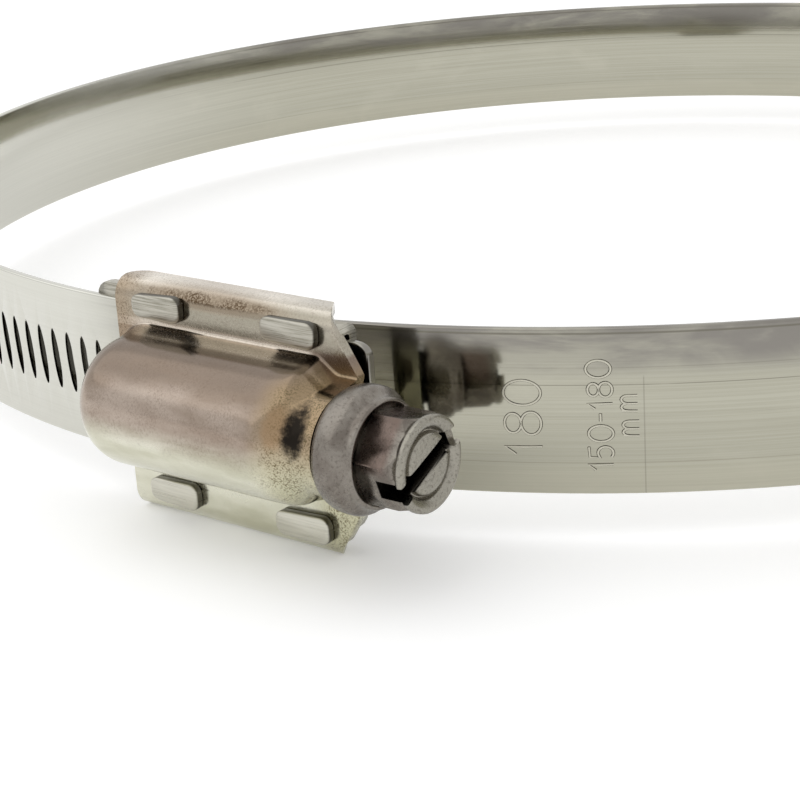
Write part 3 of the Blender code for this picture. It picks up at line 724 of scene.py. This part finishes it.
class Finish:
    """A material's nodes, with short ways to add and link them."""

    def __init__(self, name, color, roughness, metallic=1.0):
        self.material = bpy.data.materials.new(name)
        self.material.use_nodes = True
        self.tree = self.material.node_tree
        self.shader = self.tree.nodes["Principled BSDF"]
        self.set("Base Color", (*color, 1))
        self.set("Metallic", metallic)
        self.set("Roughness", roughness)
        self.coordinates = self.tree.nodes.new("ShaderNodeTexCoord").outputs["Object"]

    def set(self, socket, value):
        self.feed(self.shader.inputs[socket], value)

    def node(self, kind, **inputs):
        node = self.tree.nodes.new(kind)
        for name, value in inputs.items():
            self.feed(node.inputs[name.replace("_", " ")], value)
        return node

    def feed(self, socket, value):
        if isinstance(value, bpy.types.NodeSocket):
            self.tree.links.new(value, socket)
        else:
            socket.default_value = value

    def mapped(self, scale=(1, 1, 1), location=(0, 0, 0), rotation=(0, 0, 0)):
        mapping = self.node("ShaderNodeMapping", Vector=self.coordinates, Location=location,
                            Rotation=rotation, Scale=scale)
        return mapping.outputs["Vector"]

    def noise(self, vector, scale, detail=4, rough=0.55, distortion=0):
        node = self.node("ShaderNodeTexNoise", Vector=vector, Scale=scale, Detail=detail,
                         Roughness=rough, Distortion=distortion)
        return node.outputs["Fac"]

    def part(self, letter):
        """One of the object coordinates: X, Y or Z."""
        node = self.node("ShaderNodeSeparateXYZ", Vector=self.coordinates)
        return node.outputs[letter]

    def math(self, operation, a, b=0.0):
        node = self.tree.nodes.new("ShaderNodeMath")
        node.operation = operation
        self.feed(node.inputs[0], a)
        self.feed(node.inputs[1], b)
        return node.outputs[0]

    def both(self, a, b):
        """Two shares multiplied, so that both have to be there."""
        return self.math("MULTIPLY", a, b)

    def away(self, value, level):
        """How far a value is from a level, to either side."""
        return self.math("ABSOLUTE", self.math("SUBTRACT", value, level))

    def from_outside(self, shift, radius):
        """How far inside a circle round the ring's axis a point lies; shift moves its centre along Y."""
        x = self.math("SUBTRACT", self.part("X"), RING.translation.x)
        y = self.math("SUBTRACT", self.part("Y"), RING.translation.y + shift)
        squares = self.math("ADD", self.both(x, x), self.both(y, y))
        return self.math("SUBTRACT", radius, self.math("SQRT", squares))

    def ramp(self, value, low, high, out_low=0.0, out_high=1.0):
        """A smooth step from out_low at low to out_high at high; low may be the larger of the two."""
        if low > high:
            low, high, out_low, out_high = high, low, out_high, out_low
        node = self.node("ShaderNodeMapRange", Value=value, From_Min=low, From_Max=high,
                         To_Min=out_low, To_Max=out_high)
        node.interpolation_type = "SMOOTHSTEP"
        return node.outputs["Result"]

    def along(self, low, high, out_low=0.0, out_high=1.0):
        """A ramp along the screw, between two places of the drive unit in millimetres."""
        return self.ramp(self.part("X"), AXIS.x + low * MM, AXIS.x + high * MM, out_low, out_high)

    def up(self, low, high, out_low=0.0, out_high=1.0):
        """A ramp across the band, between two heights above its middle in millimetres."""
        return self.ramp(self.part("Z"), MIDDLE + low * MM, MIDDLE + high * MM, out_low, out_high)

    def mix(self, share, a, b):
        """Colour a, turning into colour b with its share."""
        node = self.tree.nodes.new("ShaderNodeMix")
        node.data_type = "RGBA"
        for index, value in ((0, share), (6, a), (7, b)):
            if isinstance(value, tuple) and len(value) == 3:
                value = (*value, 1)
            self.feed(node.inputs[index], value)
        return node.outputs[2]

    def between(self, value, low, high, a, b):
        """Colour a where a value is low, and colour b where it is high."""
        return self.mix(self.ramp(value, low, high), a, b)

    def bump(self, height, distance):
        node = self.node("ShaderNodeBump", Height=height, Distance=distance, Strength=1.0)
        return node.outputs["Normal"]


def rolled_steel():
    """Bright rolled strip: fine lines along it, smears near its upper edge under painted shade, a lower edge
    painted paler as painted reflection, painted light on the slotted end and painted shade in its slots.
    """
    finish = Finish("rolled stainless band", (0.45, 0.44, 0.37), 0.13)
    lines = finish.noise(finish.mapped((26, 26, 5600)), 1.0, 4, 0.7)
    fine = finish.noise(finish.mapped((30, 30, 14000)), 1.0, 2, 0.6)
    smear = finish.noise(finish.mapped((38, 38, 260), (3.1, 1.7, 0)), 1.0, 5, 0.6, 0.6)
    cloud = finish.noise(finish.mapped((90, 90, 210)), 1.0, 4, 0.6, 0.4)
    height = finish.part("Z")
    color = finish.between(lines, 0.36, 0.66, (0.39, 0.378, 0.308), (0.44, 0.43, 0.355))
    # Smears with painted shade: the band is painted darker towards its upper edge, mottled by the smears.
    smear_and_painted_shade = finish.both(finish.up(2.6, 5.6), finish.ramp(smear, 0.34, 0.6, 0.35, 1.0))
    color = finish.mix(smear_and_painted_shade, color, (0.235, 0.222, 0.2))
    color = finish.mix(finish.ramp(cloud, 0.5, 0.72, 0, 0.35), color, (0.49, 0.475, 0.395))
    # Painted reflection: the band is painted paler towards its lower edge.
    color = finish.mix(finish.up(-6.4, -4.0, 0.4, 0), color, (0.5, 0.48, 0.385))
    for level, width, strength in SCRATCHES:
        away = finish.away(height, MIDDLE + level * MM)
        line = finish.ramp(away, width * 0.4 * MM, width * MM, strength, 0)
        color = finish.mix(finish.both(line, finish.ramp(smear, 0.3, 0.5)), color, (0.16, 0.15, 0.12))
    scribed = finish.away(finish.part("X"), AXIS.x + 33.2 * MM)
    scribed = finish.ramp(scribed, 0.03 * MM, 0.07 * MM, 0.32, 0)
    scribed = finish.both(scribed, finish.up(3.2, 3.6, 1, 0))
    scribed = finish.both(scribed, finish.ramp(finish.part("Y"), -0.06, -0.05, 1, 0))
    depth = finish.from_outside(0, RING_OUTSIDE)
    scribed = finish.both(scribed, finish.ramp(depth, 0.1 * MM, 0.2 * MM, 1, 0))
    color = finish.mix(scribed, color, (0.13, 0.12, 0.1))
    # Painted light: the slotted free end is painted paler than the rest of the band.
    slotted = finish.both(finish.along(-24, -8, 1, 0), finish.ramp(finish.part("Y"), -0.03, 0.045, 1, 0))
    painted_light_tone = finish.between(lines, 0.3, 0.7, (0.585, 0.58, 0.525), (0.615, 0.61, 0.555))
    color = finish.mix(slotted, color, painted_light_tone)
    # Painted shade: the slots' walls on the free end are painted near black.
    free_outside = FREE_BAND_MIDDLE - HALF_RING_SHIFT + BAND_THICKNESS / 2
    depth = finish.from_outside(-HALF_RING_SHIFT, free_outside)
    wall = finish.ramp(depth, 0.04 * MM, 0.12 * MM)
    wall = finish.both(wall, finish.ramp(depth, 0.66 * MM, 0.76 * MM, 1, 0))
    wall = finish.both(wall, finish.ramp(finish.away(height, MIDDLE), 6.5 * MM, 7.2 * MM, 1, 0))
    color = finish.mix(finish.both(wall, slotted), color, (0.05, 0.048, 0.04))
    finish.set("Base Color", color)
    finish.set("Roughness", finish.ramp(finish.math("ADD", lines, smear_and_painted_shade), 0.4, 1.5, 0.07, 0.17))
    finish.set("Normal", finish.bump(finish.math("ADD", lines, fine), 0.0000007))
    return finish.material


def stamped_steel():
    """The size marks' lines: a painted highlight on top, and painted shade where they meet the band."""
    finish = Finish("stamped lines", (0.5, 0.48, 0.4), 0.25)
    depth = finish.from_outside(0, RING_OUTSIDE)
    # Painted light: the lines' tops are painted bright and their foot, where they meet the band, near black.
    color = finish.between(depth, -0.09 * MM, -0.055 * MM, (0.53, 0.51, 0.43), (0.055, 0.05, 0.04))
    worn = finish.ramp(finish.noise(finish.mapped(), 1300, 3, 0.6), 0.35, 0.6)
    finish.set("Base Color", finish.mix(finish.both(worn, 0.3), color, (0.42, 0.41, 0.335)))
    return finish.material


def speckles(finish, scale, low, high):
    """Small dark grains, as the heat leaves them, in loose clouds."""
    grains = finish.ramp(finish.noise(finish.mapped(), scale, 3, 0.65), low, high)
    clouds = finish.ramp(finish.noise(finish.mapped(), 520, 3, 0.6), 0.36, 0.6, 0.35, 1)
    return finish.both(grains, clouds)


def around(finish, x, y, wide, high, ragged=0.0):
    """1 at a place of the drive unit, falling to 0 at the edge of an oval round it."""
    across = finish.math("SUBTRACT", finish.part("X"), AXIS.x + x * MM)
    across = finish.math("DIVIDE", across, wide * MM)
    up = finish.math("SUBTRACT", finish.part("Z"), MIDDLE + y * MM)
    up = finish.math("DIVIDE", up, high * MM)
    reach = finish.math("ADD", finish.both(across, across), finish.both(up, up))
    if ragged:
        grain = finish.math("SUBTRACT", finish.noise(finish.mapped(), 1700, 5, 0.7), 0.5)
        reach = finish.math("ADD", reach, finish.both(grain, ragged))
    return finish.ramp(reach, 0.15, 1.0, 1, 0)


def housing_steel():
    """Satin pressed sheet with tint and painted light: brown above, painted paler and greenish below, a
    painted dark crest, a painted highlight on the bend, gold on the shoulder.
    """
    finish = Finish("pressed stainless housing", (0.45, 0.41, 0.35), 0.26)
    cloud = finish.noise(finish.mapped((90, 200, 330)), 1.0, 4, 0.55, 0.2)
    broad = finish.noise(finish.mapped(), 95, 3, 0.5)
    grain = finish.noise(finish.mapped(), 5200, 3, 0.6)
    sway = finish.both(finish.math("SUBTRACT", broad, 0.5), 3.5 * MM)
    sway = finish.math("ADD", finish.part("Z"), sway)
    # Tint and painted reflection: the sheet is painted darker brown above and paler greenish below.
    upper = finish.between(cloud, 0.3, 0.7, (0.265, 0.205, 0.16), (0.425, 0.355, 0.3))
    lower = finish.between(cloud, 0.35, 0.65, (0.56, 0.55, 0.43), (0.72, 0.71, 0.6))
    color = finish.between(sway, MIDDLE - 1.9 * MM, MIDDLE + 1.7 * MM, lower, upper)
    # Painted reflection: a dark band along the barrel's upper side, under the flange.
    crest = finish.ramp(sway, MIDDLE + 4.0 * MM, MIDDLE + 5.6 * MM)
    crest = finish.both(crest, finish.ramp(cloud, 0.35, 0.6, 0.4, 0.7))
    color = finish.mix(crest, color, (0.13, 0.095, 0.07))
    # Painted highlight: the barrel's upward-facing wall next to the flange is painted paler.
    wall = finish.both(finish.up(6.75, 6.95), finish.along(9.4, 10.6, 1, 0))
    color = finish.mix(wall, color, (0.56, 0.495, 0.42))
    flange = finish.between(cloud, 0.35, 0.65, (0.33, 0.305, 0.245), (0.41, 0.375, 0.31))
    color = finish.mix(finish.up(7.5, 8.0), color, flange)
    # Painted highlight: the flange's upper bend is painted bright cream.
    bend = finish.both(finish.up(10.7, 11.3), finish.ramp(cloud, 0.3, 0.6, 0.5, 1))
    color = finish.mix(bend, color, (0.8, 0.745, 0.66))

    soot = finish.ramp(sway, MIDDLE - 3.0 * MM, MIDDLE + 1.0 * MM)
    soot = finish.both(soot, speckles(finish, 4800, 0.42, 0.7))
    color = finish.mix(finish.both(soot, 0.34), color, (0.12, 0.085, 0.06))
    halo = finish.both(around(finish, -2.6, 10.5, 12, 1.2), 0.75)
    color = finish.mix(halo, color, (0.3, 0.235, 0.17))
    strip = around(finish, -2.6, 10.55, 10.6, 0.62, 1.1)
    strip = finish.both(strip, speckles(finish, 5200, 0.36, 0.58))
    color = finish.mix(strip, color, (0.085, 0.055, 0.03))

    # Painted shade and grains: the dome's rounding is painted darker brown where it turns away, with dark
    # grains over it.
    dome = finish.both(finish.along(-13.8, -10.4, 1, 0), finish.up(-2.0, 2.0))
    color = finish.mix(finish.both(dome, 0.7), color, (0.34, 0.26, 0.18))
    dome = finish.both(dome, speckles(finish, 5600, 0.46, 0.66))
    color = finish.mix(dome, color, (0.12, 0.085, 0.05))

    shoulder = finish.both(finish.along(8.4, 11.6), finish.up(7.4, 5.4))
    # Gold tint with painted reflection: painted paler towards the bottom.
    gold = finish.mix(finish.up(-3.5, 2.5), (0.58, 0.56, 0.39), (0.33, 0.24, 0.14))
    color = finish.mix(finish.both(shoulder, 0.75), color, gold)
    shoulder = finish.both(shoulder, speckles(finish, 6200, 0.44, 0.66))
    color = finish.mix(shoulder, color, (0.13, 0.1, 0.05))
    stain = finish.both(around(finish, 11.4, 2.9, 1.3, 2.3, 1.0), 0.5)
    color = finish.mix(stain, color, (0.31, 0.195, 0.105))
    # Painted reflection: a near-black patch on the neck next to the collar.
    color = finish.mix(around(finish, 13.2, 2.6, 1.5, 2.8, 1.2), color, (0.018, 0.015, 0.012))

    finish.set("Base Color", color)
    finish.set("Roughness", finish.ramp(finish.math("ADD", grain, cloud), 0.75, 1.3, 0.14, 0.28))
    finish.set("Normal", finish.bump(grain, 0.000003))
    return finish.material


def saddle_steel():
    """Sheared ends with fine parallel lines, over sides painted dark as painted shade, the lower heads
    painted paler as painted reflection.
    """
    finish = Finish("saddle stainless", (0.5, 0.48, 0.42), 0.32)
    shear = finish.noise(finish.mapped((150, 400, 7000), rotation=(0, radians(3), 0)), 1.0, 3, 0.7, 0.3)
    cloud = finish.noise(finish.mapped(), 420, 4, 0.6)
    color = finish.between(shear, 0.38, 0.6, (0.28, 0.265, 0.215), (0.5, 0.48, 0.42))
    color = finish.mix(finish.ramp(cloud, 0.45, 0.7, 0, 0.4), color, (0.47, 0.445, 0.385))
    # Painted reflection: the lower heads are painted paler than the upper ones.
    color = finish.mix(finish.up(-4, 4, 0.6, 0), color, (0.68, 0.665, 0.58))
    # Painted shade: the heads' sides, between the flange and their tops, are painted near black.
    out = finish.math("SUBTRACT", AXIS.y + WORM_AXIS, finish.part("Y"))
    side = finish.ramp(out, 4.84 * MM, 5.06 * MM, 1, 0)
    side = finish.both(side, finish.ramp(out, 3.9 * MM, 4.1 * MM))
    color = finish.mix(finish.both(side, 0.85), color, (0.06, 0.055, 0.045))
    finish.set("Base Color", color)
    finish.set("Roughness", finish.ramp(shear, 0.3, 0.7, 0.26, 0.42))
    finish.set("Normal", finish.bump(shear, 0.000016))
    return finish.material


def screw_steel():
    """Cold-formed head: grey-brown, pitted, with flats above painted pinker and darker as painted shade, a
    paler rim, and painted shade in the driver slot.
    """
    finish = Finish("cold-formed screw", (0.32, 0.29, 0.265), 0.3)
    cloud = finish.noise(finish.mapped(), 300, 5, 0.6, 0.4)
    pits = finish.noise(finish.mapped(), 3600, 4, 0.65)
    grain = finish.noise(finish.mapped(), 5200, 2, 0.5)
    color = finish.between(cloud, 0.35, 0.65, (0.155, 0.135, 0.117), (0.25, 0.228, 0.2))
    # Tint and painted shade: the flats on the upper side are painted pinker and darker than those below.
    flats = finish.both(finish.along(19.7, 20.2), finish.along(22.6, 23.4, 1, 0))
    upper = finish.ramp(finish.part("Z"), AXIS.z - 0.6 * MM, AXIS.z + 0.6 * MM)
    pink = finish.between(cloud, 0.35, 0.65, (0.14, 0.105, 0.088), (0.2, 0.155, 0.135))
    color = finish.mix(finish.both(flats, upper), color, pink)
    color = finish.mix(finish.along(23.2, 24.5, 0, 0.8), color, (0.32, 0.305, 0.26))
    color = finish.mix(finish.ramp(pits, 0.5, 0.68, 0, 0.5), color, (0.085, 0.072, 0.06))

    # Painted shade: the inside of the driver slot is painted near black.
    up = finish.math("SUBTRACT", finish.part("Z"), AXIS.z)
    back = finish.math("SUBTRACT", finish.part("Y"), AXIS.y)
    lean, rise = sin(SLOT_TURN), cos(SLOT_TURN)
    off = finish.math("ADD", finish.both(up, lean), finish.both(back, rise))
    down = finish.math("SUBTRACT", finish.both(up, rise), finish.both(back, lean))
    off = finish.math("ABSOLUTE", off)
    inside = finish.ramp(off, SLOT_HALF + 0.01 * MM, SLOT_HALF + 0.03 * MM, 1, 0)
    inside = finish.both(inside, finish.ramp(down, -3.5 * MM, -3.4 * MM))
    inside = finish.both(inside, finish.along(21.6, 21.68))
    inside = finish.both(inside, finish.along(23.9, 24.4, 1, 0))
    color = finish.mix(inside, color, (0.025, 0.022, 0.018))
    finish.set("Base Color", color)
    finish.set("Roughness", finish.ramp(finish.math("ADD", pits, cloud), 0.7, 1.3, 0.2, 0.36))
    finish.set("Normal", finish.bump(finish.math("ADD", pits, finish.both(grain, 0.4)), 0.000008))
    return finish.material


def wear(piece, material):
    piece.data.materials.clear()
    piece.data.materials.append(material)


# Studio

def seen_or_mirrored(tree):
    """1 where the camera or a reflection looks, 0 where the light falls on something dull."""
    path = tree.nodes.new("ShaderNodeLightPath")
    seen = tree.nodes.new("ShaderNodeMath")
    seen.operation = "MAXIMUM"
    tree.links.new(path.outputs["Is Camera Ray"], seen.inputs[0])
    tree.links.new(path.outputs["Is Glossy Ray"], seen.inputs[1])
    return seen.outputs[0]


def make_studio():
    """A white floor that fades into a white world, and one large lamp from above and the left."""
    bpy.ops.mesh.primitive_plane_add(size=FLOOR_SIZE)
    floor = added("studio_floor")
    surface = Finish("white studio floor", (0.93, 0.93, 0.93), 0.9, 0.0)
    surface.set("Specular IOR Level", 0.0)
    surface.set("Emission Color", (1, 1, 1, 1))
    surface.set("Emission Strength", surface.ramp(seen_or_mirrored(surface.tree), 0, 1, 0, FLOOR_GLOW))
    wear(floor, surface.material)

    world = bpy.data.worlds.new("white studio")
    bpy.context.scene.world = world
    world.use_nodes = True
    tree = world.node_tree
    light = tree.nodes["Background"]
    light.inputs["Color"].default_value = (1, 1, 1, 1)
    level = tree.nodes.new("ShaderNodeMapRange")
    level.inputs["To Min"].default_value = WORLD_LIGHT
    level.inputs["To Max"].default_value = 1.0
    tree.links.new(seen_or_mirrored(tree), level.inputs["Value"])
    tree.links.new(level.outputs["Result"], light.inputs["Strength"])

    bpy.ops.object.light_add(type="AREA", location=LAMP_PLACE)
    lamp = added("soft_box")
    lamp.data.size = LAMP_SIZE
    lamp.data.energy = LAMP_POWER
    lamp.rotation_euler = (LAMP_AIM - lamp.location).to_track_quat("-Z", "Y").to_euler()


def make_camera():
    """The photograph's camera, fitted to the band's edges, the slots' pitch and the housing's corners."""
    bpy.ops.object.camera_add()
    camera = added("camera")
    camera.location = RING.translation + CAMERA_PLACE
    camera.rotation_euler = CAMERA_TURN
    camera.data.lens = CAMERA_LENS
    camera.data.sensor_width = CAMERA_SENSOR
    camera.data.clip_start = 0.01
    bpy.context.scene.camera = camera


make_camera()
make_studio()
bpy.context.scene.view_settings.view_transform = "Standard"

band = make_band()
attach(band, "clamp")
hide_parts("band")

housing = make_housing()
wear(housing, housing_steel())
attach(housing, "clamp")
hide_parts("housing")

saddle = make_saddle()
wear(saddle, saddle_steel())
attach(saddle, "clamp")
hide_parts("saddle")

screw = make_screw()
wear(screw, screw_steel())
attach(screw, "screw")
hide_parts("screw")
